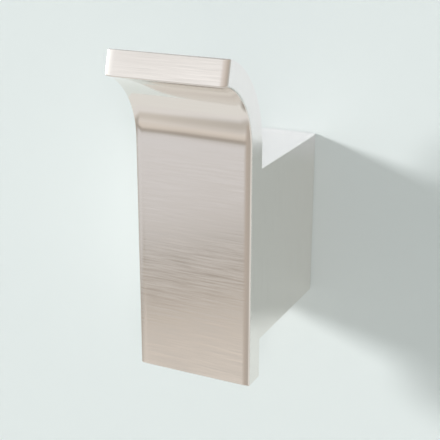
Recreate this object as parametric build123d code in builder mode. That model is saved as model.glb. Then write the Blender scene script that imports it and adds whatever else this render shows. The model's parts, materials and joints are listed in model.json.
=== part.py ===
from build123d import *
from math import radians, tan
import os

# Robe hook. The origin is the middle of the post's foot, on the wall's face.
# X runs across the hook, Y into the wall and Z up, so the hook stands out along -Y.
# Lengths are in millimetres and angles in degrees.

# Hook body, one casting
body_width = 32.0
plate_thickness = 6.6
plate_drop = 10.8
neck_rise = 5.3
flare_radius = 18.8
flare_angle = 74.4
post_depth = 36.9
post_height = 46.6
shoulder_width = 2.3
shoulder_drop = 0.25
edge_break = 0.25

# Pocket cored into the post from the wall side
pocket_wall = 3.5
pocket_depth = 28.0
pocket_draft = 1.0
pocket_corner_radius = 2.0
pocket_floor_radius = 1.5

# Wall bracket, one folded strip
bracket_thickness = 2.0
bracket_leg = 10.0
bracket_leg_spread = 8.0
bracket_bend_radius = 1.5
bracket_corner_radius = 3.0
bracket_side_gap = 1.2
bracket_seat_gap = 0.2

# Wall screws, and the room that they have in the bracket's slots
screw_pitch = 20.0
screw_radius = 2.1
screw_length = 35.0
screw_point_length = 4.0
screw_point_radius = 0.4
screw_head_radius = 4.0
screw_head_height = 2.6
screw_head_rim = 0.9
screw_recess_length = 4.2
screw_recess_width = 1.1
screw_recess_depth = 1.4
screw_recess_taper = 10.0
slot_clearance = 0.3
slot_travel = 2.4

# Wall plugs, set a little under the wall's face
plug_radius = 3.0
plug_length = 30.0
plug_set_back = 2.5
plug_nose = 1.0
plug_bore_clearance = 0.05
plug_collar_length = 8.0
plug_slit_width = 0.9
plug_groove_width = 1.6
plug_groove_depth = 0.4
plug_groove_pitch = 4.0
plug_groove_count = 5

# Set screw in the post's underside
set_screw_radius = 2.0
set_screw_length = 4.0
set_screw_from_wall = 6.5
set_screw_point_radius = 0.6
set_screw_point_length = 1.2
set_screw_point_gap = 0.05
set_screw_socket_flats = 2.0
set_screw_socket_depth = 1.8
set_screw_hole_clearance = 0.05
set_screw_mouth_widening = 0.4

# Places that follow from those sizes
body_half = body_width / 2
post_top = post_height / 2
plate_back = -post_depth
plate_front = plate_back - plate_thickness
plate_shoulder = plate_front + shoulder_drop
plate_bottom = -post_top - plate_drop
flare_start = post_top + neck_rise
flare_axis = Axis((0, plate_front - flare_radius, flare_start), (1, 0, 0))
flare_forward = Vector(0, 0, 1).rotate(Axis.X, flare_angle)
flare_outward = Vector(0, 1, 0).rotate(Axis.X, flare_angle)
flare_end = Plane(flare_axis.position + flare_outward * flare_radius, flare_forward, flare_outward)
pocket_width = body_width - 2 * pocket_wall
pocket_height = post_height - 2 * pocket_wall
bracket_width = pocket_width - 2 * bracket_side_gap
leg_tip_z = pocket_height / 2 - bracket_leg * tan(radians(pocket_draft)) - bracket_seat_gap
leg_root_z = leg_tip_z - bracket_leg * tan(radians(bracket_leg_spread))
screw_heights = (-screw_pitch / 2, screw_pitch / 2)
head_seat = -bracket_thickness
head_top = head_seat - screw_head_height
screw_end = head_seat + screw_length

# Hook body: the plate runs up from its lower end and is turned forward at the flare.
# Its front is flat across the middle and falls away in a soft shoulder along each side.
with BuildPart() as hook_body:
    with BuildSketch(Plane.XY.offset(plate_bottom)):
        with BuildLine():
            Line((0, plate_front), (body_half - shoulder_width, plate_front))
            TangentArc(
                (body_half - shoulder_width, plate_front),
                (body_half, plate_shoulder),
                tangent=(1, 0),
            )
            Polyline((body_half, plate_shoulder), (body_half, plate_back), (0, plate_back))
            mirror(about=Plane.YZ)
        make_face()
    extrude(amount=flare_start - plate_bottom)
    plate_top = hook_body.faces().sort_by(Axis.Z)[-1]
    revolve(plate_top, axis=flare_axis, revolution_arc=flare_angle)

    # The flare's end has the same soft shoulders, cut square to its own direction.
    with BuildSketch(flare_end):
        with BuildLine():
            Line((0, body_half - shoulder_width), (0, body_half))
            Line((0, body_half), (-shoulder_drop, body_half))
            TangentArc(
                (0, body_half - shoulder_width),
                (-shoulder_drop, body_half),
                tangent=(0, 1),
            )
        make_face()
        mirror(about=Plane.XZ)
    extrude(amount=plate_thickness, mode=Mode.SUBTRACT)

    # The post stands on the wall, flush with the plate's sides.
    with BuildSketch(Plane.XZ):
        Rectangle(body_width, post_height)
    extrude(amount=post_depth)

    # Outside edges are only just broken. The corners between post and plate stay crisp.
    left_side, *_, right_side = hook_body.faces().filter_by(Axis.X).sort_by(Axis.X)
    lower_face = hook_body.faces().sort_by(Axis.Z)[0]
    tip_face = hook_body.faces().filter_by(GeomType.PLANE).sort_by(Axis.Y)[0]
    tip_lines = tip_face.edges().filter_by(Axis.X)
    chamfer(left_side.edges() + right_side.edges() + lower_face.edges() + tip_lines, edge_break)

    # The core leaves a pocket with drafted walls and a rounded floor, open to the wall.
    with BuildSketch(Plane.XZ):
        RectangleRounded(pocket_width, pocket_height, pocket_corner_radius)
    extrude(amount=pocket_depth, taper=pocket_draft, mode=Mode.SUBTRACT)
    pocket_floor = hook_body.faces(Select.LAST).filter_by(Axis.Y).sort_by(Axis.Y)[0]
    fillet(pocket_floor.edges(), pocket_floor_radius)

    # The set screw's hole runs up through the post's lower wall.
    set_screw_mouth = Plane(origin=(0, -set_screw_from_wall, -post_top), z_dir=(0, 0, -1))
    set_screw_hole_radius = set_screw_radius + set_screw_hole_clearance
    with Locations(set_screw_mouth):
        CounterSinkHole(
            radius=set_screw_hole_radius,
            counter_sink_radius=set_screw_hole_radius + set_screw_mouth_widening,
            depth=post_top,
            counter_sink_angle=90,
        )

# Wall bracket: a strip folded into a U whose legs spread outwards, away from the wall
with BuildPart() as wall_bracket:
    with BuildSketch(Plane.YZ):
        with BuildLine():
            strip = FilletPolyline(
                (-bracket_leg, leg_tip_z),
                (0, leg_root_z),
                (0, -leg_root_z),
                (-bracket_leg, -leg_tip_z),
                radius=bracket_bend_radius + bracket_thickness,
            )
            offset(strip, amount=bracket_thickness, side=Side.RIGHT)
        make_face()
    extrude(amount=bracket_width / 2, both=True)
    leg_ends = wall_bracket.faces().filter_by(GeomType.PLANE).sort_by(Axis.Y)[0:2]
    leg_corners = leg_ends.edges().filter_by(Axis.X, reverse=True)
    fillet(leg_corners, bracket_corner_radius)
    with BuildSketch(Plane.XZ):
        with GridLocations(0, screw_pitch, 1, 2):
            SlotCenterToCenter(slot_travel, 2 * (screw_radius + slot_clearance))
    extrude(amount=bracket_thickness, mode=Mode.SUBTRACT)

# Wall screws: domed pan heads that bear on the bracket, plain shanks and cross recesses
with BuildPart() as wall_screws:
    for height in screw_heights:
        with BuildSketch(Plane.XY.offset(height)):
            with BuildLine():
                TangentArc((0, head_top), (screw_head_radius, head_seat - screw_head_rim), tangent=(1, 0))
                Polyline(
                    (screw_head_radius, head_seat - screw_head_rim),
                    (screw_head_radius, head_seat),
                    (screw_radius, head_seat),
                    (screw_radius, screw_end - screw_point_length),
                    (screw_point_radius, screw_end),
                    (0, screw_end),
                    (0, head_top),
                )
            make_face()
        revolve(axis=Axis((0, 0, height), (0, 1, 0)))
    with BuildSketch(Plane(origin=(0, head_top, 0), x_dir=(1, 0, 0), z_dir=(0, 1, 0))):
        with GridLocations(0, screw_pitch, 1, 2):
            Rectangle(screw_recess_length, screw_recess_width)
            Rectangle(screw_recess_width, screw_recess_length)
    extrude(amount=screw_recess_depth, taper=screw_recess_taper, mode=Mode.SUBTRACT)

# Wall plugs: grooved sleeves round the screws, slit behind their collars so that they spread
plug_bore_radius = screw_radius + plug_bore_clearance
plug_end = plug_set_back + plug_length
with BuildPart() as wall_plugs:
    for height in screw_heights:
        with BuildSketch(Plane.XY.offset(height)):
            with BuildLine():
                Polyline(
                    (plug_bore_radius, plug_set_back),
                    (plug_radius, plug_set_back),
                    (plug_radius, plug_end - plug_nose),
                    (plug_bore_radius, plug_end),
                    close=True,
                )
            make_face()
            for groove in range(plug_groove_count):
                groove_y = plug_set_back + plug_collar_length + (groove + 0.5) * plug_groove_pitch
                with Locations((plug_radius, groove_y)):
                    Rectangle(2 * plug_groove_depth, plug_groove_width, mode=Mode.SUBTRACT)
        revolve(axis=Axis((0, 0, height), (0, 1, 0)))
    with BuildSketch(Plane(origin=(0, plug_end, 0), x_dir=(1, 0, 0), z_dir=(0, 1, 0))):
        with GridLocations(0, screw_pitch, 1, 2):
            Rectangle(2 * plug_radius, plug_slit_width)
    extrude(amount=plug_collar_length - plug_length, mode=Mode.SUBTRACT)

# Set screw: a headless screw whose point bears on the slope of the bracket's lower leg
leg_slope_z = leg_root_z + (set_screw_from_wall + set_screw_point_radius) * tan(radians(bracket_leg_spread))
set_screw_point_z = -leg_slope_z - set_screw_point_gap
set_screw_foot_z = set_screw_point_z - set_screw_length
with BuildPart() as set_screw:
    with BuildSketch(Plane.XZ.offset(set_screw_from_wall)):
        with BuildLine():
            Polyline(
                (0, set_screw_foot_z),
                (set_screw_radius, set_screw_foot_z),
                (set_screw_radius, set_screw_point_z - set_screw_point_length),
                (set_screw_point_radius, set_screw_point_z),
                (0, set_screw_point_z),
                close=True,
            )
        make_face()
    revolve(axis=Axis((0, -set_screw_from_wall, 0), (0, 0, 1)))
    with BuildSketch(Plane.XY.offset(set_screw_foot_z)):
        with Locations((0, -set_screw_from_wall)):
            RegularPolygon(radius=set_screw_socket_flats / 2, side_count=6, major_radius=False)
    extrude(amount=set_screw_socket_depth, mode=Mode.SUBTRACT)

os.makedirs("parts", exist_ok=True)
pieces = {
    "hook_body": hook_body,
    "wall_bracket": wall_bracket,
    "wall_screws": wall_screws,
    "wall_plugs": wall_plugs,
    "set_screw": set_screw,
}
for name, piece in pieces.items():
    piece.part.label = name
    export_step(piece.part, f"parts/{name}.step")
    print(f"{name}: {piece.part.volume / 1000:.2f} cm3, {len(piece.part.solids())} solid(s)")
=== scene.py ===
# %% [markdown]
# # A brushed nickel robe hook
# This lesson dresses a robe hook that was designed in CAD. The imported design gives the
# places and outer sizes, and Blender adds what a designer's solids leave out: round edges, the
# grain that an abrasive belt left in the metal, screw threads, and a studio to see it in.
# The frame is loaded first, because everything else is measured from it.

# %% Load the frame
import json
from math import asin, atan2, cos, pi, radians, sin, sqrt, tan
import bmesh
import bpy
from mathutils import Matrix, Vector
from mathutils.geometry import tessellate_polygon


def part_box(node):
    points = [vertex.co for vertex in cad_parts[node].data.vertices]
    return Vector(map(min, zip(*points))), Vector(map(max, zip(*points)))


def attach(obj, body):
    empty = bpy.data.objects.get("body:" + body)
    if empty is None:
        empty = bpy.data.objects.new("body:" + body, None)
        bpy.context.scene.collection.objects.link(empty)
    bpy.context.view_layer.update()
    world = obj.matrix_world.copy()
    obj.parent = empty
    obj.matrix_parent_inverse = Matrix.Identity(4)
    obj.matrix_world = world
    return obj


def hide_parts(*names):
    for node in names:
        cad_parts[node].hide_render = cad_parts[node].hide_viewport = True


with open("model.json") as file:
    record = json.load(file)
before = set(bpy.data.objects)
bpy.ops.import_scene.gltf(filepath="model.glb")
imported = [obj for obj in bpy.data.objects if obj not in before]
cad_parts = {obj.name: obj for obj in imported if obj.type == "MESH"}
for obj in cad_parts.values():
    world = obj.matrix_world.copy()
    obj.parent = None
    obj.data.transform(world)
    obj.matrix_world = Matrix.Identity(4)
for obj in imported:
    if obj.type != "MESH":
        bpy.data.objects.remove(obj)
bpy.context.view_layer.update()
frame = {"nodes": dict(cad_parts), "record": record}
MM = 0.001

# %% [markdown]
# ## The camera
# A photograph's viewpoint can be found by matching edges: the same corner is at the same
# place in the picture only for one direction, distance and lens. Here the direction is
# 25.6 degrees to the right of straight ahead and 19.2 degrees above, from about 30 cm away.
# The lens is long, so upright edges stay nearly parallel.

# %% Camera
VIEW_AZIMUTH = radians(25.62)
VIEW_ELEVATION = radians(19.23)
VIEW_ROLL = radians(0.08)
VIEW_TARGET = Vector((-13.24, 0, -6.46)) * MM
VIEW_DISTANCE = 305.5 * MM
LENS_MM = 84.16
SENSOR_MM = 36
CLIP_START = 10 * MM


def look_from(azimuth, elevation):
    """The direction from the object towards a viewer."""
    level = cos(elevation)
    return Vector((sin(azimuth) * level, -cos(azimuth) * level, sin(elevation)))


def add_camera():
    """A camera that looks at the target from the photograph's direction."""
    data = bpy.data.cameras.new("camera")
    data.lens = LENS_MM
    data.sensor_width = SENSOR_MM
    data.clip_start = CLIP_START
    camera = bpy.data.objects.new("camera", data)
    bpy.context.scene.collection.objects.link(camera)
    back = look_from(VIEW_AZIMUTH, VIEW_ELEVATION)
    place = Matrix.Translation(VIEW_TARGET + back * VIEW_DISTANCE)
    aim = (-back).to_track_quat("-Z", "Y").to_matrix().to_4x4()
    camera.matrix_world = place @ aim @ Matrix.Rotation(VIEW_ROLL, 4, "Z")
    bpy.context.scene.camera = camera
    return camera


camera = add_camera()
print("camera stands at", [round(value / MM) for value in camera.location], "mm")

# %% [markdown]
# ## The side outline of the hook
# The hook is one casting with the same side outline right across its width: a plate, a flare
# that turns forward at the top, and a post that stands on the wall. A cube with bevels would
# do for the post, but not for the flare, and bevels across a curve leave uneven shading.
# So the outline is drawn once and swept across. Its outer places come from the design's box,
# and the other sizes are the designer's own.

# %% Sizes of the casting
low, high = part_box("hook_body")
body_half = high.x
foot_y = high.y
plate_bottom = low.z
post_top = next(m for m in frame["record"]["mounts"] if m["name"] == "loop_seat")["pos_m"][2]
plate_back = -36.9 * MM
plate_thickness = 6.6 * MM
plate_front = plate_back - plate_thickness
neck_rise = 5.3 * MM
flare_radius = 18.8 * MM
flare_angle = radians(74.4)
edge_radius = 0.4 * MM
flare_start = post_top + neck_rise
flare_y = plate_front - flare_radius
print("post top", round(post_top / MM, 2), "mm, flare's centre at y", round(flare_y / MM, 2), "mm")

# %% [markdown]
# ## Points that know their facing
# Mirror-like metal shows the smallest fault in its shading. Blender can guess a facing from the
# faces round a point, but next to an edge the guess is off. So each point of the outline
# holds its true facing. It also holds how it moves where the front's soft shoulders fall away,
# and which way the fine round edge takes it in at the sides.

# %% Outline points
FLARE_STEPS = 64
CORNER_STEPS = 5


def heading(angle):
    """A unit vector (y, z) in the side view."""
    return Vector((cos(angle), sin(angle)))


def outline_point(at, faces, moves=(0, 0), inset=None):
    """One point: place, facing, move at the shoulders, and way in from the side edge."""
    facing = Vector(faces)
    return {"at": Vector(at), "faces": facing, "moves": Vector(moves), "inset": Vector(inset or facing)}


def arc_points(center, radius, start, end, steps, moves=(0, 0)):
    """Points along an arc whose surface faces away from its centre."""
    ways = [heading(start + (end - start) * step / steps) for step in range(steps + 1)]
    return [outline_point(Vector(center) + way * radius, way, moves) for way in ways]


def line_points(start, end, faces, moves=((0, 0), (0, 0)), insets=(None, None)):
    """The two ends of a straight stretch."""
    ends = zip((start, end), moves, insets)
    return [outline_point(at, faces, move, inset) for at, move, inset in ends]


print("a rounded edge takes", CORNER_STEPS + 1, "points and the flare", FLARE_STEPS + 1)

# %% [markdown]
# ## Plate and flare
# The plate's front runs straight up and then turns forward through 74 degrees. Inside the turn is
# the hollow, and the flare's end is cut square, with a rounded lip below it and one above.
# The shoulders follow the turn, so in the hollow they fall away from the flare's centre.
# A curve object with a profile could make the turn, but not the shoulders on the square end.

# %% Front and flare
into_plate = (1, 0)
front_corner = Vector((plate_front + edge_radius, plate_bottom + edge_radius))
flare_center = Vector((flare_y, flare_start))
flare_back_radius = flare_radius + plate_thickness
flare_forward = heading(flare_angle + pi / 2)
lower_turn = flare_angle - asin(edge_radius / (flare_radius + edge_radius))
upper_turn = flare_angle - asin(edge_radius / (flare_back_radius - edge_radius))
lip_moves = heading(lower_turn) - flare_forward


def front_runs():
    """The plate's rounded lower edge and its flat front, from the bottom up."""
    ends = (plate_front, front_corner.y), (plate_front, flare_start)
    return {
        "front_corner": arc_points(front_corner, edge_radius, 1.5 * pi, pi, CORNER_STEPS, into_plate),
        "front": line_points(*ends, (-1, 0), (into_plate, into_plate)),
    }


def hollow_points():
    """The flare's hollow side, which faces its own centre."""
    points = []
    for step in range(FLARE_STEPS + 1):
        way = heading(lower_turn * step / FLARE_STEPS)
        points.append(outline_point(flare_center + way * flare_radius, -way, way))
    points[-1]["moves"] = lip_moves
    return points


def flare_runs():
    """The hollow, the square-cut end between its two lips, and the flare's back."""
    low_hub = flare_center + heading(lower_turn) * (flare_radius + edge_radius)
    high_hub = flare_center + heading(upper_turn) * (flare_back_radius - edge_radius)
    ends = [hub + flare_forward * edge_radius for hub in (low_hub, high_hub)]
    end_turn = flare_angle + pi / 2
    back = arc_points(flare_center, flare_back_radius, upper_turn, 0, FLARE_STEPS)
    back[0]["moves"] = -flare_forward
    return {
        "hollow": hollow_points(),
        "lip_low": arc_points(low_hub, edge_radius, lower_turn + pi, end_turn, CORNER_STEPS, lip_moves),
        "lip": line_points(*ends, flare_forward, (lip_moves, -flare_forward)),
        "lip_high": arc_points(high_hub, edge_radius, end_turn, upper_turn, CORNER_STEPS, -flare_forward),
        "flare_back": back,
    }


outline = {**front_runs(), **flare_runs()}
print("front and flare:", list(outline))

# %% [markdown]
# ## Post and back
# Behind the plate the outline goes round the post and down to the plate's lower edge. The corners
# between post and plate are crisp on the real casting, so they have no arc: two straight runs meet
# there, each with its own facing. At such a corner the side edge takes both runs in together.

# %% Post and back
UP, DOWN, TO_WALL = (0, 1), (0, -1), (1, 0)
HIGH_CORNER, LOW_CORNER = (1, 1), (1, -1)
back_corner = Vector((plate_back - edge_radius, plate_bottom + edge_radius))


def back_runs():
    """Down the plate's back, round the post, and to the plate's lower edge."""
    neck_end, lower_end = (plate_back, flare_start), (plate_back, back_corner.y)
    high_root, low_root = (plate_back, post_top), (plate_back, -post_top)
    high_foot, low_foot = (foot_y, post_top), (foot_y, -post_top)
    bottom_ends = (back_corner.x, plate_bottom), (front_corner.x, plate_bottom)
    return {
        "plate_back_high": line_points(neck_end, high_root, TO_WALL, insets=(None, HIGH_CORNER)),
        "post_top": line_points(high_root, high_foot, UP, insets=(HIGH_CORNER, HIGH_CORNER)),
        "foot": line_points(high_foot, low_foot, TO_WALL, insets=(HIGH_CORNER, LOW_CORNER)),
        "post_bottom": line_points(low_foot, low_root, DOWN, insets=(LOW_CORNER, LOW_CORNER)),
        "plate_back_low": line_points(low_root, lower_end, TO_WALL, insets=(LOW_CORNER, None)),
        "back_corner": arc_points(back_corner, edge_radius, 2 * pi, 1.5 * pi, CORNER_STEPS),
        "bottom": line_points(*bottom_ends, DOWN, ((0, 0), into_plate)),
    }


outline.update(back_runs())
print("outline:", sum(len(run) for run in outline.values()), "points in", len(outline), "runs")

# %% [markdown]
# ## Across the width
# Sweeping the outline across the width gives the casting. The front is flat in the middle, falls
# away in a soft shoulder along each side, and then turns over a fine round edge. A few
# stops would do on the flat, but light moves fast over the shoulder and the edge, so the stops are
# close together there. One side is worked out, and the other is its mirror image.

# %% Stops across the width
shoulder_width = 2.3 * MM
shoulder_drop = 0.25 * MM
SHOULDER_STEPS = 8
EDGE_STEPS = 7


def side_stops():
    """Stops from the flat middle to one side: place, fall of the front, inset and tilt."""
    crown = (shoulder_width ** 2 + shoulder_drop ** 2) / (2 * shoulder_drop)
    reach = shoulder_width - edge_radius
    stops = []
    for step in range(SHOULDER_STEPS + 1):
        turn = asin(reach / crown) * step / SHOULDER_STEPS
        x = body_half - shoulder_width + crown * sin(turn)
        stops.append({"x": x, "fall": crown * (1 - cos(turn)), "inset": 0, "slope": tan(turn), "tilt": 0})
    first = asin(reach / (crown - edge_radius))
    hub = crown - sqrt((crown - edge_radius) ** 2 - reach ** 2)
    for step in range(EDGE_STEPS + 1):
        turn = first + (pi / 2 - first) * step / EDGE_STEPS
        inset = edge_radius * (1 - cos(turn))
        fall = hub - edge_radius * cos(turn) - inset
        x = body_half - edge_radius * (1 - sin(turn))
        stops.append({"x": x, "fall": fall, "inset": inset, "slope": 0, "tilt": turn})
    return stops


half_stops = side_stops()
stops = [{**stop, "x": -stop["x"], "side": -1} for stop in reversed(half_stops)]
stops += [{**stop, "side": 1} for stop in half_stops]
print(len(stops), "stops across", round(2 * body_half / MM, 1), "mm")

# %% [markdown]
# ## A shell of faces
# A mesh for metal needs three things at every corner of every face: a place that it shares with its
# neighbours, its own facing, and a pair of numbers that say where it lies along the brush lines and
# across them. bmesh could hold them too, but a small class that gathers corners and welds
# them as they come is easier to follow, and it can turn each face outwards on the way.

# %% A shell of faces
WELD = 0.001 * MM


class Shell:
    """Faces gathered corner by corner. Corners at one place become one vertex."""

    def __init__(self):
        self.places, self.numbers, self.faces, self.facings, self.brush = [], {}, [], [], []

    def number(self, place):
        """The number of the vertex at a place, which is made if there is none."""
        key = tuple(round(value / WELD) for value in place)
        if key not in self.numbers:
            self.numbers[key] = len(self.places)
            self.places.append(place)
        return self.numbers[key]

    def face(self, corners):
        """One face from (place, facing, brush place) corners, turned to face outwards."""
        kept = {}
        for place, facing, brush in corners:
            kept.setdefault(self.number(place), (facing.normalized(), brush))
        if len(kept) < 3:
            return
        order = list(kept)
        loop = [self.places[number] for number in order]
        around = sum((a.cross(b) for a, b in zip(loop, loop[1:] + loop[:1])), Vector((0, 0, 0)))
        if around.dot(sum((facing for facing, _ in kept.values()), Vector((0, 0, 0)))) < 0:
            order.reverse()
        self.faces.append(order)
        self.facings += [kept[number][0] for number in order]
        self.brush += [kept[number][1] for number in order]

    def fill(self, loops, facing, brush):
        """A flat area inside the first loop and outside the others."""
        flat = [place for loop in loops for place in loop]
        for triangle in tessellate_polygon([[place / MM for place in loop] for loop in loops]):
            self.face([(flat[index], facing, brush(flat[index])) for index in triangle])

    def build(self, name):
        """The welded mesh as an object, with its facings and a UV map of the brush lines."""
        mesh = bpy.data.meshes.new(name)
        mesh.from_pydata(self.places, [], self.faces, shade_flat=False)
        layer = mesh.uv_layers.new(name="brush")
        layer.data.foreach_set("uv", [value for pair in self.brush for value in pair])
        mesh.normals_split_custom_set(self.facings)
        shape = bpy.data.objects.new(name, mesh)
        bpy.context.scene.collection.objects.link(shape)
        return shape


print("corners within about", WELD / MM, "mm share one vertex")

# %% [markdown]
# ## The cored pocket
# Zinc castings are cored to save metal. This post is hollow from the wall side, with walls that
# lean a little so that the core can be pulled out, rounded corners and a rounded floor. A boolean
# could cut it out of the post, but then the facings along its rounded edges would be guessed.
# Rings of places, one inside the other, give bands whose facings are known.

# %% Rings of the pocket
POCKET_WALL = 3.5 * MM
POCKET_DEPTH = 28 * MM
POCKET_DRAFT = radians(1)
POCKET_CORNER = 2 * MM
POCKET_FLOOR = 1.5 * MM


def pocket_loop(inward, depth):
    """One turn round the pocket: places, and the way out from its middle at each."""
    radius = POCKET_CORNER - inward
    reach_x = body_half - POCKET_WALL - POCKET_CORNER
    reach_z = post_top - POCKET_WALL - POCKET_CORNER
    places, ways = [], []
    for side_x, side_z, start in ((1, 1, 0), (-1, 1, pi / 2), (-1, -1, pi), (1, -1, 1.5 * pi)):
        for step in range(CORNER_STEPS + 1):
            way = heading(start + pi / 2 * step / CORNER_STEPS)
            x = side_x * reach_x + radius * way.x
            z = side_z * reach_z + radius * way.y
            places.append(Vector((x, -depth, z)))
            ways.append(Vector((way.x, 0, way.y)))
    return places, ways


def pocket_rings():
    """(places, facings) at the mouth, and round the floor's rounded edge."""
    hub_depth = POCKET_DEPTH - POCKET_FLOOR
    hub_inward = hub_depth * tan(POCKET_DRAFT) + POCKET_FLOOR / cos(POCKET_DRAFT)
    loops = [(*pocket_loop(0, 0), (cos(POCKET_DRAFT), -sin(POCKET_DRAFT)))]
    for step in range(CORNER_STEPS + 1):
        way = heading(pi - POCKET_DRAFT - (pi / 2 - POCKET_DRAFT) * step / CORNER_STEPS)
        places, ways = pocket_loop(hub_inward + POCKET_FLOOR * way.x, hub_depth + POCKET_FLOOR * way.y)
        loops.append((places, ways, (-way.x, -way.y)))
    rings = []
    for places, ways, (inward, deeper) in loops:
        rings.append((places, [Vector((-way.x * inward, -deeper, -way.z * inward)) for way in ways]))
    return rings


rings = pocket_rings()
print(len(rings), "rings of", len(rings[0][0]), "places,", round(POCKET_DEPTH / MM), "mm deep")

# %% [markdown]
# ## The set screw's hole
# A small screw in the post's underside holds the hook on its bracket. Its hole comes up through
# the lower wall, with a short cone at its mouth that takes the burr off. A cylinder and a boolean
# could drill it, but rings fit the bands that are used already. The hole's top lies on
# the leaning wall, so the height of a ring may change with y.

# %% Rings of the hole
HOLE_FROM_WALL = 6.5 * MM
HOLE_RADIUS = 2.05 * MM
HOLE_MOUTH = 2.45 * MM
HOLE_STEPS = 48


def ring(radius, height):
    """A ring of places round the set screw's axis, and the ways out; the height may depend on y."""
    ways = [heading(2 * pi * step / HOLE_STEPS) for step in range(HOLE_STEPS)]
    flat = [(radius * way.x, radius * way.y - HOLE_FROM_WALL) for way in ways]
    return [Vector((x, y, height(y))) for x, y in flat], [Vector((way.x, way.y, 0)) for way in ways]


def lower_wall_height(y):
    """How high the pocket's lower wall lies."""
    return POCKET_WALL - post_top - y * tan(POCKET_DRAFT)


print("hole of", round(2 * HOLE_RADIUS / MM, 1), "mm,", round(HOLE_FROM_WALL / MM, 1), "mm from the wall")

# %% [markdown]
# ## Faces of the pocket and the hole
# Two rings with as many places each are joined by a band of faces, one for every step. The pocket
# is such bands from its mouth to its floor, and the hole is a cone and a bore. One wall of the
# pocket is broken through by the hole, so the band leaves that face out, and it is
# filled round the hole instead. Bridge Edge Loops does the same by hand in Edit Mode.

# %% Pocket and hole
LOWER_WALL = 3 * (CORNER_STEPS + 1) - 1


def across(place):
    """A brush place for surfaces that are brushed from side to side."""
    return (place.x, place.y + place.z)


def band(shell, first, second, skip=None):
    """Faces between two closed rings of (places, facings), but for one that may be skipped."""
    count = len(first[0])
    for here in range(count):
        if here == skip:
            continue
        after = (here + 1) % count
        corners = []
        for (places, facings), index in ((first, here), (first, after), (second, after), (second, here)):
            corners.append((places[index], facings[index], across(places[index])))
        shell.face(corners)


def add_pocket(shell, hole_mouth):
    """The cored pocket, and the hole that comes up into it."""
    mouth, rim = rings[0][0], rings[1][0]
    hole_top = ring(HOLE_RADIUS, lower_wall_height)
    wall = [mouth[LOWER_WALL], mouth[LOWER_WALL + 1], rim[LOWER_WALL + 1], rim[LOWER_WALL]]
    shell.fill([wall, hole_top[0]], rings[0][1][LOWER_WALL], across)
    for first, second in zip(rings, rings[1:]):
        band(shell, first, second, skip=LOWER_WALL if first is rings[0] else None)
    shell.fill([rings[-1][0]], Vector((0, 1, 0)), across)
    throat = ring(HOLE_RADIUS, lambda y: HOLE_MOUTH - HOLE_RADIUS - post_top)
    cone = [Vector((-way.x, -way.y, -1)) for way in hole_mouth[1]]
    bore = [-way for way in throat[1]]
    band(shell, (hole_mouth[0], cone), (throat[0], cone))
    band(shell, (throat[0], bore), (hole_top[0], bore))


print("the hole breaks through after place", LOWER_WALL, "of each ring")

# %% [markdown]
# ## Casting the hook
# Now outline and stops come together. Each outline point is taken to each stop, moved where the
# shoulder falls and tilted where the edge turns, and four such corners make a face. The foot and
# the underside each have an opening, so there the wide face in the middle is filled round it.
# Geometry Nodes could sweep the outline too, but the openings are easier to fill in mesh code.
# A closed shell has two faces on every edge, so the edges that haven't are counted.

# %% Cast the hook
def swept_corner(point, stop):
    """Place and facing of an outline point at a stop across the width."""
    flat = point["at"] + point["moves"] * stop["fall"] - point["inset"] * stop["inset"]
    tilt = stop["tilt"] or atan2(stop["slope"] * -point["moves"].dot(point["faces"]), 1)
    facing = Vector((stop["side"] * sin(tilt), *(point["faces"] * cos(tilt))))
    return Vector((stop["x"], *flat)), facing


def sweep(shell, openings):
    """Faces along the outline and across the stops, open where a run has an opening."""
    start = 0
    for run_name, run in outline.items():
        for here, after in zip(run, run[1:]):
            end = start + (after["at"] - here["at"]).length
            for left, right in zip(stops, stops[1:]):
                turn = ((here, start, left), (here, start, right), (after, end, right), (after, end, left))
                corners = [(*swept_corner(point, stop), (stop["x"], along)) for point, along, stop in turn]
                if left["side"] != right["side"] and run_name in openings:
                    rim = [place for place, _, _ in corners]
                    shell.fill([rim, openings[run_name]], corners[0][1], across)
                else:
                    shell.face(corners)
            start = end


def cast_hook(name):
    """The whole casting: the sweep, its two flat sides, the pocket and the hole."""
    shell = Shell()
    hole_mouth = ring(HOLE_MOUTH, lambda y: -post_top)
    sweep(shell, {"foot": rings[0][0], "post_bottom": hole_mouth[0]})
    for stop in (stops[0], stops[-1]):
        loop = [swept_corner(point, stop)[0] for run in outline.values() for point in run[:-1]]
        shell.fill([loop], Vector((stop["side"], 0, 0)), lambda place: (place.z, place.y))
    add_pocket(shell, hole_mouth)
    return shell.build(name)


def open_edges(mesh):
    """How many edges don't have exactly two faces."""
    counts = {}
    for polygon in mesh.polygons:
        for key in polygon.edge_keys:
            counts[key] = counts.get(key, 0) + 1
    return sum(count != 2 for count in counts.values())


hook = cast_hook("hook_casting")
print(len(hook.data.polygons), "faces,", open_edges(hook.data), "open edges")

# %% [markdown]
# ## Helpers for node trees
# A finish in Blender is a tree of nodes, and most trees need the same few: a mix, a sum, and a
# fade from one value to another. Clicking them together is fine once, but a script that sets
# each socket by hand soon hides what it does. These helpers say it in one line each, and the
# threads use some of them in Geometry Nodes as well.

# %% Node helpers
def new_material(name):
    """An empty material with its node tree and a Principled shader."""
    material = bpy.data.materials.new(name)
    material.use_nodes = True
    return material, material.node_tree, material.node_tree.nodes["Principled BSDF"]


def add_node(tree, kind, inputs=None, **settings):
    """A node with its settings, whose inputs are given as values or as sockets to link."""
    node = tree.nodes.new(kind)
    for name, value in settings.items():
        setattr(node, name, value)
    for name, value in (inputs or {}).items():
        if isinstance(value, bpy.types.NodeSocket):
            tree.links.new(value, node.inputs[name])
        else:
            node.inputs[name].default_value = value
    return node


def work_out(tree, operation, *values):
    """A sum, product or the like of two or three values."""
    return add_node(tree, "ShaderNodeMath", dict(enumerate(values)), operation=operation).outputs[0]


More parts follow.
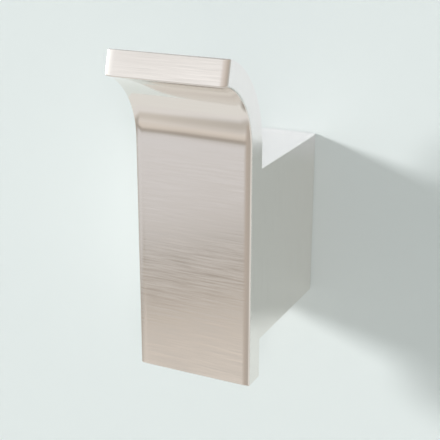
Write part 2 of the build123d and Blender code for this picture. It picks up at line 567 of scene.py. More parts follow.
def fade(tree, value, start, end, first=0, last=1):
    """Goes from first to last while a value goes from start to end."""
    ends = {"From Min": start, "From Max": end, "To Min": first, "To Max": last}
    return add_node(tree, "ShaderNodeMapRange", {"Value": value, **ends}).outputs[0]


def mix_values(tree, factor, first, second):
    """A number between two others."""
    return add_node(tree, "ShaderNodeMix", {0: factor, 2: first, 3: second}).outputs[0]


def mix_colors(tree, factor, first, second, blend_type="MIX"):
    """A colour between two others, or one multiplied by the other."""
    inputs = {0: factor, 6: first, 7: second}
    return add_node(tree, "ShaderNodeMix", inputs, data_type="RGBA", blend_type=blend_type).outputs[2]


helpers = (new_material, add_node, work_out, fade, mix_values, mix_colors)
print("helpers:", [helper.__name__ for helper in helpers])

# %% [markdown]
# ## The grain of the brush
# The casting is plated with nickel and then drawn across an abrasive belt, which leaves fine
# parallel scratches. Noise stretched along the brush lines gives them, wide streaks and fine ones
# together. A picture of scratches would do the same, but it would repeat, and blur close up.
# The belt can't bear hard inside the hollow, so there its marks are faint.

# %% Streaks and belt pressure
NOISE_LOW, NOISE_HIGH = 0.3, 0.7
HOLLOW_PRESS = 0.2
PRESS_FADE = 4 * MM


def streaks(tree, place, length, spacing, detail=2):
    """Noise drawn out along the brush lines; length and spacing are in metres."""
    scale = (1 / length, 1 / spacing, 1)
    stretched = add_node(tree, "ShaderNodeMapping", {"Vector": place, "Scale": scale}).outputs[0]
    inputs = {"Vector": stretched, "Scale": 1, "Detail": detail}
    return add_node(tree, "ShaderNodeTexNoise", inputs, noise_dimensions="2D").outputs["Fac"]


def spread(tree, noise, first, last):
    """Noise, which keeps to its middle values, brought to a whole range."""
    return fade(tree, noise, NOISE_LOW, NOISE_HIGH, first, last)


def run_start(name):
    """How far along the outline a run begins."""
    length = 0
    for run_name, run in outline.items():
        if run_name == name:
            return length
        length += sum((after["at"] - here["at"]).length for here, after in zip(run, run[1:]))


def belt_press(tree, place):
    """How hard the belt bore: fully on the flats, lightly in the hollow."""
    along = add_node(tree, "ShaderNodeSeparateXYZ", {0: place}).outputs["Y"]
    start, end = run_start("hollow"), run_start("lip_low")
    lifts = fade(tree, along, start - PRESS_FADE / 2, start + PRESS_FADE / 2, 1, HOLLOW_PRESS)
    returns = fade(tree, along, end - PRESS_FADE, end, HOLLOW_PRESS, 1)
    return work_out(tree, "MAXIMUM", lifts, returns)


hollow_length = run_start("lip_low") - run_start("hollow")
print("the belt lifts over", round(hollow_length / MM, 1), "mm of hollow")

# %% [markdown]
# ## Brushed nickel
# Nickel is a slightly warm metal. Its scratches smear a reflection across them and leave
# it sharper along them. Three things make that here: an anisotropic reflection that follows the brush
# lines, a very shallow bump, and smoother and rougher streaks with a slight change of
# tint. A plain rough metal would blur everything evenly and look like sandblasting.

# %% Brushed nickel
NICKEL_COLOR = (0.875, 0.843, 0.806, 1)
NICKEL_DARK = (0.862, 0.829, 0.790, 1)
NICKEL_SMOOTH, NICKEL_ROUGH = 0.06, 0.22
WIDE_LENGTH, WIDE_SPACING = 16 * MM, 0.55 * MM
FINE_LENGTH, FINE_SPACING = 9 * MM, 0.22 * MM
FINE_SHARE = 0.5
SCRATCH_DEPTH = 0.0085 * MM
SMEAR = 0.9
QUARTER_TURN = 0.25


def brushed_nickel():
    """Nickel with the belt's streaks along the brush UV map."""
    material, tree, shader = new_material("brushed_nickel")
    place = add_node(tree, "ShaderNodeUVMap", uv_map="brush").outputs[0]
    press = belt_press(tree, place)
    wide = streaks(tree, place, WIDE_LENGTH, WIDE_SPACING)
    fine = streaks(tree, place, FINE_LENGTH, FINE_SPACING)
    grain = mix_values(tree, FINE_SHARE, wide, fine)
    streak = spread(tree, grain, 0, 1)
    tint = mix_colors(tree, streak, NICKEL_COLOR, NICKEL_DARK)
    scuffed = work_out(tree, "MULTIPLY", press, streak)
    roughness = mix_values(tree, scuffed, NICKEL_SMOOTH, NICKEL_ROUGH)
    height = work_out(tree, "MULTIPLY", press, grain)
    bump = add_node(tree, "ShaderNodeBump", {"Height": height, "Strength": 1, "Distance": SCRATCH_DEPTH})
    tangent = add_node(tree, "ShaderNodeTangent", direction_type="UV_MAP", uv_map="brush")
    shader.inputs["Metallic"].default_value = 1
    shader.inputs["Anisotropic"].default_value = SMEAR
    shader.inputs["Anisotropic Rotation"].default_value = QUARTER_TURN
    tree.links.new(tint, shader.inputs["Base Color"])
    tree.links.new(roughness, shader.inputs["Roughness"])
    tree.links.new(bump.outputs[0], shader.inputs["Normal"])
    tree.links.new(tangent.outputs[0], shader.inputs["Tangent"])
    return material


hook.data.materials.append(brushed_nickel())
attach(hook, "root")
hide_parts("hook_body")
print("nickel roughness from", NICKEL_SMOOTH, "to", NICKEL_ROUGH)

# %% [markdown]
# ## Bracket, plugs and set screw
# Behind the casting a folded strip of zinc-plated steel holds the hook to the wall, and nylon plugs
# hold its screws. These pieces have their full shape in the design already, so a copy is enough.
# The design's mesh is loose triangles, so the copy is welded first and its flat areas are
# joined. Bevelling loose triangles would tear them apart.

# %% Welded copies
COPY_WELD = 0.002 * MM
FLAT_WITHIN = radians(1)
SHARP_FROM = radians(32)


def welded_copy(node, name):
    """A clean copy of a CAD node's mesh, as a new object."""
    work = bmesh.new()
    work.from_mesh(frame["nodes"][node].data)
    bmesh.ops.remove_doubles(work, verts=work.verts, dist=COPY_WELD)
    bmesh.ops.dissolve_limit(work, angle_limit=FLAT_WITHIN, verts=work.verts, edges=work.edges)
    places = [vertex.co.copy() for vertex in work.verts]
    work.verts.index_update()
    faces = [[vertex.index for vertex in face.verts] for face in work.faces]
    work.free()
    mesh = bpy.data.meshes.new(name)
    mesh.from_pydata(places, [], faces, shade_flat=False)
    mesh.set_sharp_from_angle(angle=SHARP_FROM)
    shape = bpy.data.objects.new(name, mesh)
    bpy.context.scene.collection.objects.link(shape)
    return shape


bracket = welded_copy("wall_bracket", "bracket_strip")
plugs = welded_copy("wall_plugs", "plug_sleeves")
grub = welded_copy("set_screw", "grub_screw")
for piece in (bracket, plugs, grub):
    print(piece.name, len(piece.data.polygons), "faces,", open_edges(piece.data), "open edges")

# %% [markdown]
# ## Broken edges
# No real edge is perfectly sharp: pressed steel is tumbled, and a mould has small radii. A bevel
# of about a tenth of a millimetre is hardly seen as a shape, but it catches a line of light.
# The edges could be rounded in the mesh, but a Bevel modifier stays adjustable, and its hardened
# normals keep the flats flat. Each piece has its own width, because the plugs' walls are thin.

# %% Break the edges
BRACKET_BREAK = 0.15 * MM
PLUG_BREAK = 0.06 * MM
GRUB_BREAK = 0.05 * MM
BREAK_SEGMENTS = 2


def soften(shape, width):
    """A bevel that breaks the sharp edges."""
    bevel = shape.modifiers.new("edge_break", "BEVEL")
    bevel.width = width
    bevel.segments = BREAK_SEGMENTS
    bevel.limit_method = "ANGLE"
    bevel.angle_limit = SHARP_FROM
    bevel.harden_normals = True


for piece, width in ((bracket, BRACKET_BREAK), (plugs, PLUG_BREAK), (grub, GRUB_BREAK)):
    soften(piece, width)
    print(piece.name, "edges broken by", round(width / MM, 2), "mm")

# %% [markdown]
# ## Zinc, steel and nylon
# Zinc plating is a dull metal with faint clouds, where the bath left larger crystals. Screws
# come out of a tumbler with fine scuffs in every direction. Nylon is not a metal: light goes a little
# way into it, and its skin has the slight grain of the mould. All three vary softly and have no
# direction, so one function, with noise at two scales, serves them all.

# %% Materials of the small pieces
CLOUD_DETAIL, FINE_DETAIL = 4, 2
FINER = 8
NYLON_GLOW = 0.3
NYLON_GLOW_DEPTH = 0.8 * MM


def speckled(name, colors, roughness, grain, depth, metallic):
    """A surface whose colour and roughness vary in clouds, with a finer bump."""
    material, tree, shader = new_material(name)
    place = add_node(tree, "ShaderNodeTexCoord").outputs["Object"]
    inputs = {"Vector": place, "Scale": 1 / grain, "Detail": CLOUD_DETAIL}
    cloud = add_node(tree, "ShaderNodeTexNoise", inputs).outputs["Fac"]
    inputs = {"Vector": place, "Scale": FINER / grain, "Detail": FINE_DETAIL}
    fine = add_node(tree, "ShaderNodeTexNoise", inputs).outputs["Fac"]
    bump = add_node(tree, "ShaderNodeBump", {"Height": fine, "Strength": 1, "Distance": depth})
    shader.inputs["Metallic"].default_value = metallic
    tree.links.new(mix_colors(tree, spread(tree, cloud, 0, 1), *colors), shader.inputs["Base Color"])
    tree.links.new(spread(tree, cloud, *roughness), shader.inputs["Roughness"])
    tree.links.new(bump.outputs[0], shader.inputs["Normal"])
    return material, shader


zinc, _ = speckled(
    "plated_steel", colors=((0.66, 0.67, 0.69, 1), (0.74, 0.75, 0.76, 1)),
    roughness=(0.30, 0.42), grain=3 * MM, depth=0.004 * MM, metallic=1,
)
steel, _ = speckled(
    "screw_steel", colors=((0.58, 0.57, 0.55, 1), (0.66, 0.65, 0.63, 1)),
    roughness=(0.24, 0.38), grain=1.2 * MM, depth=0.003 * MM, metallic=1,
)
nylon, nylon_shader = speckled(
    "plug_nylon", colors=((0.55, 0.55, 0.55, 1), (0.60, 0.60, 0.59, 1)),
    roughness=(0.55, 0.68), grain=2 * MM, depth=0.008 * MM, metallic=0,
)
nylon_shader.inputs["Subsurface Weight"].default_value = NYLON_GLOW
nylon_shader.inputs["Subsurface Radius"].default_value = (1, 1, 1)
nylon_shader.inputs["Subsurface Scale"].default_value = NYLON_GLOW_DEPTH
print("finishes:", [finish.name for finish in (zinc, steel, nylon)])

# %% [markdown]
# ## Standing for the design
# Each finished piece takes the place of a solid in the design: it rides on the same body, hides
# the solid, and gets its material. Colouring the solids themselves would
# be shorter, but then they would keep their sharp edges.

# %% Hand in the small pieces
def hand_in(shape, node, material):
    """Give the piece its material and let it stand for its CAD node."""
    shape.data.materials.clear()
    shape.data.materials.append(material)
    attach(shape, "root")
    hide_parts(node)


hand_in(bracket, "wall_bracket", zinc)
hand_in(plugs, "wall_plugs", nylon)
hand_in(grub, "set_screw", steel)
print("small pieces wear", [piece.data.materials[0].name for piece in (bracket, plugs, grub)])

# %% [markdown]
# ## The screws' cores
# The design's screws are plain rods as thick as the thread's crest, which is all that fitting them
# needs. A thread cut into such a rod would need a boolean along a spiral, which is slow and
# often fails. So each rod is slimmed to its core here, and the next step winds a ridge round it.
# The heads stay as they are: only what lies past their seat moves in.

# %% Slim the shanks
_, screw_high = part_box("wall_screws")
SCREW_PITCH = 20 * MM
SCREW_RADIUS = 2.1 * MM
CORE_RADIUS = 1.55 * MM
HEAD_SEAT = -2 * MM


def slim_shanks(shape):
    """Bring everything past the heads in to the core's radius."""
    moved = 0
    for vertex in shape.data.vertices:
        axis_z = SCREW_PITCH / 2 if vertex.co.z > 0 else -SCREW_PITCH / 2
        out = Vector((vertex.co.x, 0, vertex.co.z - axis_z))
        if vertex.co.y > HEAD_SEAT - COPY_WELD and out.length < SCREW_RADIUS + COPY_WELD:
            vertex.co -= out * (1 - CORE_RADIUS / SCREW_RADIUS)
            moved += 1
    return moved


screws = welded_copy("wall_screws", "pan_head_screws")
print(slim_shanks(screws), "places slimmed to a core of", round(2 * CORE_RADIUS / MM, 1), "mm")

# %% [markdown]
# ## One thread
# A thread is a spiral with a small diamond swept along it, so Geometry Nodes can make it from a
# few numbers: one spiral for the shank, and a narrowing one for the point. A Screw modifier could
# wind the shank as well, but it can't narrow. The spirals stand upright, so the pair is
# laid down along y, where the screws lie.

# %% One thread
RIDGE_CORNERS = 4
TURN_STEPS = 40


def vector_of(tree, **axes):
    """A vector with one axis given."""
    return add_node(tree, "ShaderNodeCombineXYZ", axes).outputs[0]


def join(tree, first, second):
    """Two geometries as one."""
    node = add_node(tree, "GeometryNodeJoinGeometry", {0: first})
    tree.links.new(second, node.inputs[0])
    return node.outputs[0]


def wound_ridge(tree, given, length, end_radius, profile):
    """A ridge wound round a length, from the core's radius to another."""
    turns = work_out(tree, "DIVIDE", length, given["Lead"])
    inputs = {"Resolution": TURN_STEPS, "Rotations": turns, "Height": length}
    inputs.update({"Start Radius": given["Core Radius"], "End Radius": end_radius})
    spiral = add_node(tree, "GeometryNodeCurveSpiral", inputs).outputs[0]
    inputs = {"Curve": spiral, "Profile Curve": profile, "Fill Caps": True}
    return add_node(tree, "GeometryNodeCurveToMesh", inputs).outputs[0]


def one_thread(tree, given):
    """Shank and point of one thread, laid along y from its start."""
    ridge = work_out(tree, "SUBTRACT", given["Crest Radius"], given["Core Radius"])
    inputs = {"Resolution": RIDGE_CORNERS, "Radius": ridge}
    diamond = add_node(tree, "GeometryNodeCurvePrimitiveCircle", inputs).outputs[0]
    shank = wound_ridge(tree, given, given["Shank Length"], given["Core Radius"], diamond)
    point = wound_ridge(tree, given, given["Point Length"], 0, diamond)
    up = vector_of(tree, Z=given["Shank Length"])
    point = add_node(tree, "GeometryNodeTransform", {"Geometry": point, "Translation": up}).outputs[0]
    inputs = {"Geometry": join(tree, shank, point), "Rotation": (-pi / 2, 0, 0)}
    inputs["Translation"] = vector_of(tree, Y=given["Start"])
    return add_node(tree, "GeometryNodeTransform", inputs).outputs[0]


print("a turn of thread has", TURN_STEPS, "steps of", RIDGE_CORNERS, "corners each")

# %% [markdown]
# ## Threads on both screws
# The two screws are alike, so one thread is made and stands on two points, a pitch apart. The tree
# has its sizes as named inputs: for a coarser thread only the lead changes. The
# copies are made real at the end and get their material there, because an exported model
# has no instances.

# %% Thread tree
THREAD_INPUTS = ("Lead", "Core Radius", "Crest Radius", "Shank Length", "Point Length", "Start", "Pitch")


def thread_group(material):
    """Geometry Nodes that add both screws' threads to the mesh they are given."""
    tree = bpy.data.node_groups.new("screw_thread", "GeometryNodeTree")
    tree.interface.new_socket("Geometry", in_out="INPUT", socket_type="NodeSocketGeometry")
    for label in THREAD_INPUTS:
        tree.interface.new_socket(label, in_out="INPUT", socket_type="NodeSocketFloat")
    tree.interface.new_socket("Geometry", in_out="OUTPUT", socket_type="NodeSocketGeometry")
    given = add_node(tree, "NodeGroupInput").outputs
    lowest = vector_of(tree, Z=work_out(tree, "MULTIPLY", given["Pitch"], -0.5))
    inputs = {"Count": 2, "Start Location": lowest, "Offset": vector_of(tree, Z=given["Pitch"])}
    axes = add_node(tree, "GeometryNodeMeshLine", inputs).outputs[0]
    inputs = {"Points": axes, "Instance": one_thread(tree, given)}
    both = add_node(tree, "GeometryNodeInstanceOnPoints", inputs).outputs[0]
    real = add_node(tree, "GeometryNodeRealizeInstances", {"Geometry": both}).outputs[0]
    inputs = {"Geometry": join(tree, given["Geometry"], real), "Material": material}
    dressed = add_node(tree, "GeometryNodeSetMaterial", inputs).outputs[0]
    add_node(tree, "NodeGroupOutput", {"Geometry": dressed})
    return tree


threads = thread_group(steel)
print("thread tree:", len(threads.nodes), "nodes with inputs", THREAD_INPUTS)

# %% [markdown]
# ## Winding the threads
# The tree runs on the slimmed screws with this screw's own sizes. A short neck under the head has
# no thread, as on a rolled screw, and the point's spiral ends a little before the tip. The result
# is kept as a plain mesh, so that nothing is left to work out when the model is used elsewhere.

# %% Wind the threads
THREAD_LEAD = 1.8 * MM
POINT_LENGTH = 4 * MM
PLAIN_NECK = 1.5 * MM


def bake(shape, tree, values):
    """Run a node group on an object with named values and keep the mesh it makes."""
    modifier = shape.modifiers.new(tree.name, "NODES")
    modifier.node_group = tree
    for item in tree.interface.items_tree:
        if item.in_out == "INPUT" and item.name in values:
            modifier[item.identifier] = values[item.name]
    made = bpy.data.meshes.new_from_object(shape.evaluated_get(bpy.context.evaluated_depsgraph_get()))
    shape.modifiers.remove(modifier)
    shape.data = made


neck_end = HEAD_SEAT + PLAIN_NECK
thread_sizes = {
    "Lead": THREAD_LEAD,
    "Core Radius": CORE_RADIUS,
    "Crest Radius": SCREW_RADIUS,
    "Shank Length": screw_high.y - POINT_LENGTH - neck_end,
    "Point Length": POINT_LENGTH - CORE_RADIUS,
    "Start": neck_end,
    "Pitch": SCREW_PITCH,
}
bake(screws, threads, thread_sizes)
hand_in(screws, "wall_screws", steel)
print(len(screws.data.polygons), "faces with threads")

# %% [markdown]
# ## Paint for the wall
# Brushed metal has hardly any colour of its own: it shows what stands round it. So the studio has a
# plain pale wall behind the hook. Its paint is matt, and it is on the front only: from behind the
# wall is clear, and the pieces there can be seen. Hiding the wall for such a view would do that too,
# but then each view would need its own scene. Reflections get a painted light: in them the wall is a
# little paler, and paler still from the post's upper part upwards, where it stands in for the lamp's
# light on the wall above the hook's shadow.

# %% Wall paint
WALL_COLOR = (0.79, 0.84, 0.84, 1)
# Painted reflection: the wall as the metal mirrors it, paler than its paint, and paler still higher up as
# painted lamp light.
WALL_PAINTED_REFLECTION = (0.81, 0.86, 0.86, 1)
WALL_PAINTED_LIT_REFLECTION = (0.91, 0.955, 1.0, 1)
PAINTED_LIGHT_FROM = 14 * MM
PAINTED_LIGHT_TO = 22 * MM
WALL_ROUGHNESS = 0.9


def wall_paint_with_painted_light():
    """Matt paint on the front, with painted light in its reflections; nothing on the back."""
    material, tree, shader = new_material("wall_paint_with_painted_light")
    place = add_node(tree, "ShaderNodeTexCoord").outputs["Object"]
    height = add_node(tree, "ShaderNodeSeparateXYZ", {0: place}).outputs["Z"]
    # Painted light: from this height up the wall's reflection is brighter, as if the lamp reached it past
    # the hook's shadow.
    painted_light_above = fade(tree, height, PAINTED_LIGHT_FROM, PAINTED_LIGHT_TO)
    painted_reflection = mix_colors(tree, painted_light_above, WALL_PAINTED_REFLECTION, WALL_PAINTED_LIT_REFLECTION)
    mirrored = add_node(tree, "ShaderNodeLightPath").outputs["Is Glossy Ray"]
    tree.links.new(mix_colors(tree, mirrored, WALL_COLOR, painted_reflection), shader.inputs["Base Color"])
    shader.inputs["Roughness"].default_value = WALL_ROUGHNESS
    shader.inputs["Specular IOR Level"].default_value = 0
    clear = add_node(tree, "ShaderNodeBsdfTransparent")
    back = add_node(tree, "ShaderNodeNewGeometry").outputs["Backfacing"]
    mix = add_node(tree, "ShaderNodeMixShader", {"Fac": back, 1: shader.outputs[0], 2: clear.outputs[0]})
    tree.links.new(mix.outputs[0], tree.nodes["Material Output"].inputs["Surface"])
    return material


wall_finish = wall_paint_with_painted_light()
print(wall_finish.name, "has", len(wall_finish.node_tree.nodes), "nodes")

# %% [markdown]
# ## Wall and floor
# A plane would do for the wall, but the plugs and screws go into it, and it would cut
# through them. So the wall is a frame of four faces round an opening that hides behind the post's
# foot. The floor below is one plain face. Reflections don't show it, because its near edge
# would be a hard line in the metal: the sky and the card stand in for it.

# %% Wall and floor
WALL_GAP = 0.3 * MM
WALL_SPAN = 2.0
WALL_OPENING = 0.6 * MM
FLOOR_Z = -0.30
FLOOR_COLOR = (0.70, 0.66, 0.61, 1)
FLOOR_ROUGHNESS = 0.8
CORNERS = ((-1, -1), (1, -1), (1, 1), (-1, 1))


def stage_piece(name, places, faces, material):
    """A piece of the studio, which isn't part of the object."""
    mesh = bpy.data.meshes.new(name)
    mesh.from_pydata(places, [], faces)
    mesh.materials.append(material)
    piece = bpy.data.objects.new(name, mesh)
    bpy.context.scene.collection.objects.link(piece)
    return piece


def build_wall():
    """A wall with an opening that hides behind the post's foot."""
    inner_x, inner_z = body_half - WALL_OPENING, post_top - WALL_OPENING
    outer = [(x * WALL_SPAN, WALL_GAP, FLOOR_Z if z < 0 else WALL_SPAN) for x, z in CORNERS]
    inner = [(x * inner_x, WALL_GAP, z * inner_z) for x, z in CORNERS]
    faces = [(side, (side + 1) % 4, (side + 1) % 4 + 4, side + 4) for side in range(4)]
    return stage_piece("studio_wall", outer + inner, faces, wall_finish)


def build_floor():
    """A plain floor that the metal doesn't mirror."""
    material, _, shader = new_material("floor_paint")
    shader.inputs["Base Color"].default_value = FLOOR_COLOR
    shader.inputs["Roughness"].default_value = FLOOR_ROUGHNESS
    places = [(x * WALL_SPAN, y * WALL_SPAN, FLOOR_Z) for x, y in CORNERS]
    floor = stage_piece("studio_floor", places, [(0, 1, 2, 3)], material)
    floor.visible_glossy = False
    return floor


wall = build_wall()
floor = build_floor()
for piece in (wall, floor):
    print(piece.name, "faces", [round(value, 1) for value in piece.data.polygons[0].normal])

# %% [markdown]
# ## Lamps
# A key lamp stands far to the left, a little above the hook, and throws the long shadow to the
# right. A sun lamp would do as well, but an area lamp's size softens the shadow's edge in a way
# that is easy to judge. A weak fill lamp behind the camera lifts the shadow, and reflections
# don't show it. The plain Standard view keeps a colour about as it is written.

# %% Lamps
KEY_DIRECTION = Vector((-0.841, -0.486, 0.236))
KEY_DISTANCE = 12.0
KEY_SIZE = 2.0
KEY_POWER = 1100
FILL_DISTANCE = 2.5
FILL_SIZE = 0.8
FILL_POWER = 12.5


def add_lamp(name, direction, distance, size, power):
    """A round soft lamp that shines at the hook from a direction."""
    data = bpy.data.lights.new(name, "AREA")
    data.shape = "DISK"
    data.size = size
    data.energy = power
    lamp = bpy.data.objects.new(name, data)
    bpy.context.scene.collection.objects.link(lamp)
    way = direction.normalized()
    aim = way.to_track_quat("Z", "Y").to_matrix().to_4x4()
    lamp.matrix_world = Matrix.Translation(way * distance) @ aim
    return lamp


key = add_lamp("key", KEY_DIRECTION, KEY_DISTANCE, KEY_SIZE, KEY_POWER)
fill_direction = look_from(VIEW_AZIMUTH, VIEW_ELEVATION)
fill = add_lamp("fill", fill_direction, FILL_DISTANCE, FILL_SIZE, FILL_POWER)
fill.visible_glossy = False
bpy.context.scene.view_settings.view_transform = "Standard"
print("key lamp", KEY_POWER, "W at", [round(value, 2) for value in key.location])

# %% [markdown]
# ## The sky
# The sky is the soft light from everywhere else. It can be three things at once, because a ray
# knows what it is: an even ambient light for the paint, a pale backdrop for the camera, and
# surroundings for reflections. Those are darker overhead, straight below and at the far sides, so
# that the metal's faces differ from each other. One even colour would leave them all alike.

# %% Sky
AMBIENT = (0.295, 0.325, 0.325, 1)
BACKDROP = (0.82, 0.86, 0.86, 1)
AROUND = (0.81, 0.80, 0.77, 1)
BESIDE = (0.55, 0.54, 0.51, 1)
BESIDE_FROM, BESIDE_TO = 0.90, 0.98
OVERHEAD = (0.26, 0.25, 0.24, 1)
OVERHEAD_FROM, OVERHEAD_TO = 0.5, 0.7
UNDERFOOT = (0.34, 0.31, 0.28, 1)
UNDERFOOT_FROM, UNDERFOOT_TO = -0.955, -0.985


def build_sky():
    """A world that differs for the camera, for reflections and for all other light."""
    world = bpy.data.worlds.new("studio_sky")
    bpy.context.scene.world = world
    world.use_nodes = True
    tree = world.node_tree
    way = add_node(tree, "ShaderNodeTexCoord").outputs["Generated"]
    parts = add_node(tree, "ShaderNodeSeparateXYZ", {0: way}).outputs
    beside = fade(tree, work_out(tree, "ABSOLUTE", parts["X"]), BESIDE_FROM, BESIDE_TO)
    above = fade(tree, parts["Z"], OVERHEAD_FROM, OVERHEAD_TO)
    below = fade(tree, parts["Z"], UNDERFOOT_FROM, UNDERFOOT_TO)
    level = mix_colors(tree, beside, AROUND, BESIDE)
    mirrored = mix_colors(tree, below, mix_colors(tree, above, level, OVERHEAD), UNDERFOOT)
    path = add_node(tree, "ShaderNodeLightPath").outputs
    lit = mix_colors(tree, path["Is Glossy Ray"], AMBIENT, mirrored)
    color = mix_colors(tree, path["Is Camera Ray"], lit, BACKDROP)
    tree.links.new(color, tree.nodes["Background"].inputs["Color"])
    return world


sky = build_sky()
print(sky.name, "has", len(sky.node_tree.nodes), "nodes")

# %% [markdown]
# ## The reflection card
# Product photographers stand a painted card near a shiny thing, out of the picture, to give it
# something to mirror. This one stands 30 cm in front. From the top down it is dark,
# then pale, then greyer down to a soft dark line, warm below the line, and pale again at its foot.
# Its colours are stops on a ramp, each by its height in metres, with how far the stop covers.

# %% Colours by height
CARD_FULL = 1.3
CARD_BY_HEIGHT = (
    (-0.90, (0.80, 0.78, 0.76), 1),
    (-0.58, (0.80, 0.78, 0.76), 1),
    (-0.46, (0.64, 0.60, 0.55), 1),
    (-0.34, (0.64, 0.60, 0.55), 1),
    (-0.25, (0.75, 0.71, 0.67), 1),
    (-0.19, (0.74, 0.68, 0.62), 1),
    (-0.162, (0.65, 0.59, 0.53), 1),
    (-0.143, (0.38, 0.34, 0.30), 1),
    (-0.126, (0.40, 0.37, 0.33), 1),
    (-0.098, (0.71, 0.69, 0.69), 1),
    (0.00, (0.72, 0.71, 0.72), 1),
    (0.07, (1.00, 0.99, 0.98), 1),
    (0.15, (1.04, 1.03, 1.03), 1),
    (0.20, (0.70, 0.69, 0.68), 1),
    (0.26, (0.42, 0.41, 0.40), 1),
    (0.60, (0.40, 0.39, 0.38), 1),
)


def length_ramp(tree, value, table, full=CARD_FULL):
    """Colours and their cover by a length in metres, from a table in order of length."""
    first, last = table[0][0], table[-1][0]
    ramp = add_node(tree, "ShaderNodeValToRGB", {"Fac": fade(tree, value, first, last)})
    marks = ramp.color_ramp.elements
    while len(marks) < len(table):
        marks.new(1)
    for mark, (at, color, cover) in zip(marks, table):
        mark.position = (at - first) / (last - first)
        mark.color = (*(channel / full for channel in color), cover)
    return ramp.outputs


print(len(CARD_BY_HEIGHT), "stops from the card's foot to its top")

# %% [markdown]
# ## The card's sides
# A flat face mirrors a small part of the card, but a shoulder sweeps over its sides. So the sides
# have stops of their own, by the distance from the middle. The low half is dark at the far left,
# has a tan strip near the middle, and is pale and then grey to the right. The high half is
# bright at the left and dark at the right. Where a stop's cover is 0, the colours by height show.

# %% Colours at the sides
CARD_SIDES_LOW = (
    (-1.00, (0.40, 0.37, 0.33), 0.8),
    (-0.41, (0.40, 0.37, 0.33), 0.8),
    (-0.32, (0.40, 0.37, 0.33), 0),
    (-0.11, (0.50, 0.44, 0.39), 0),
    (-0.058, (0.51, 0.45, 0.40), 1),
    (-0.01, (0.46, 0.42, 0.38), 1),
    (0.04, (0.94, 0.92, 0.88), 1),
    (0.22, (0.86, 0.85, 0.82), 1),
    (0.45, (0.58, 0.56, 0.53), 1),
    (1.00, (0.52, 0.50, 0.47), 1),
)
CARD_SIDES_HIGH = (
    (-1.00, (1.30, 1.30, 1.30), 1),
    (-0.32, (1.22, 1.22, 1.22), 1),
    (-0.26, (1.05, 1.05, 1.05), 1),
    (-0.16, (0.93, 0.92, 0.92), 0),
    (-0.125, (0.86, 0.82, 0.79), 0),
    (-0.085, (0.80, 0.75, 0.72), 1),
    (-0.045, (0.67, 0.61, 0.56), 1),
    (-0.02, (0.55, 0.49, 0.44), 1),
    (0.02, (0.41, 0.39, 0.35), 1),
    (0.08, (0.54, 0.53, 0.51), 1),
    (1.00, (0.54, 0.53, 0.51), 1),
)
CARD_HALVES = (-0.02, 0.03)
CARD_FOOT = (-0.42, -0.36)


def painted_sides(tree, axes, by_height):
    """The sides' colours over the colours by height; the low half's cover ends near the foot."""
    low_side = length_ramp(tree, axes["X"], CARD_SIDES_LOW)
    high_side = length_ramp(tree, axes["X"], CARD_SIDES_HIGH)
    upper = fade(tree, axes["Z"], *CARD_HALVES)
    low_cover = work_out(tree, "MULTIPLY", low_side["Alpha"], fade(tree, axes["Z"], *CARD_FOOT))
    cover = mix_values(tree, upper, low_cover, high_side["Alpha"])
    side = mix_colors(tree, upper, low_side["Color"], high_side["Color"])
    return mix_colors(tree, cover, by_height, side)


print("the halves meet at heights of", CARD_HALVES, "m")

# %% [markdown]
# ## Slopes and shade on the card
# Straight bands would look like a printed card. The dark line drops towards the left, and the
# bands far below it lean the other way, so each height is shifted by a small fall that depends
# on the distance from the middle. The warm part is also a little darker to the right, along a
# slanted edge. Both are read from short ramps, which is easier to adjust than a formula.

# %% Slopes and shade
CARD_FALL = (
    (-0.44, 0.130),
    (-0.30, 0.055),
    (-0.25, 0.027),
    (-0.216, 0.012),
    (-0.187, 0.018),
    (-0.12, 0),
    (1.00, 0),
)
CARD_LEAN_HEIGHTS = (-0.45, -0.25)
CARD_LEAN = (-0.4, 1)
CARD_SHADE = (
    (-0.90, 1),
    (-0.66, 1),
    (-0.58, 0.86),
    (-0.27, 0.86),
    (-0.225, 1),
    (0.60, 1),
)
CARD_SHADE_SLANT = -0.4
CARD_SHADE_SIDES = (-0.135, -0.065)


def grey_ramp(tree, value, table):
    """A number by a length in metres, as an even grey."""
    greys = [(at, (amount, amount, amount), 1) for at, amount in table]
    return length_ramp(tree, value, greys, full=1)["Color"]


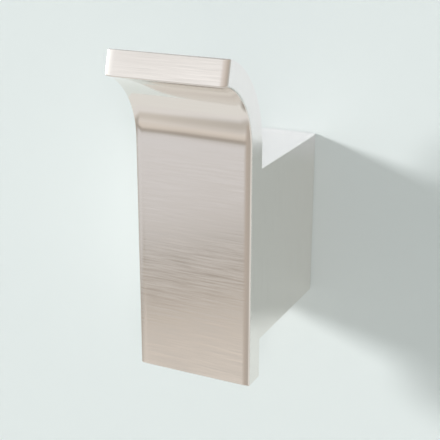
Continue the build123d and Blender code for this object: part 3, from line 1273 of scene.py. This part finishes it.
def painted_bands(tree, axes):
    """The colours by height, on their slopes and with their shade."""
    lean = fade(tree, axes["Z"], *CARD_LEAN_HEIGHTS, *CARD_LEAN)
    level = work_out(tree, "MULTIPLY_ADD", grey_ramp(tree, axes["X"], CARD_FALL), lean, axes["Z"])
    bands = length_ramp(tree, level, CARD_BY_HEIGHT)["Color"]
    slant = work_out(tree, "MULTIPLY_ADD", axes["Z"], CARD_SHADE_SLANT, axes["X"])
    shade = grey_ramp(tree, axes["Z"], CARD_SHADE)
    return mix_colors(tree, fade(tree, slant, *CARD_SHADE_SIDES), bands, shade, "MULTIPLY")


print("the dark line falls by up to", round(max(amount for _, amount in CARD_FALL) / MM), "mm")

# %% [markdown]
# ## Standing the card
# The card could be lit by a lamp, but the lamp would then show in the metal too. So the card glows
# with its own paint, and only reflections can see it: it neither lights the wall nor throws a
# shadow, and the camera doesn't see it.

# %% Stand the card
CARD_DISTANCE = 0.30
CARD_Y = plate_front - CARD_DISTANCE
CARD_SPAN = 1.0
CARD_LOW, CARD_HIGH = -0.9, 0.6


def card_paint():
    """Paint that gives off its own colour, up to the brightest stop."""
    material, tree, shader = new_material("card_paint")
    place = add_node(tree, "ShaderNodeTexCoord").outputs["Object"]
    axes = add_node(tree, "ShaderNodeSeparateXYZ", {0: place}).outputs
    color = painted_sides(tree, axes, painted_bands(tree, axes))
    glow = add_node(tree, "ShaderNodeEmission", {"Color": color, "Strength": CARD_FULL})
    tree.nodes.remove(shader)
    tree.links.new(glow.outputs[0], tree.nodes["Material Output"].inputs["Surface"])
    material.cycles.emission_sampling = "NONE"
    return material


def build_card():
    """The card in front of the hook, for reflections alone."""
    places = [(x * CARD_SPAN, CARD_Y, CARD_LOW if z < 0 else CARD_HIGH) for x, z in CORNERS]
    card = stage_piece("studio_card", places, [(0, 1, 2, 3)], card_paint())
    for sight in ("camera", "diffuse", "shadow", "transmission"):
        setattr(card, f"visible_{sight}", False)
    return card


card = build_card()
print(card.name, "stands", round(CARD_DISTANCE / MM), "mm in front of the plate")
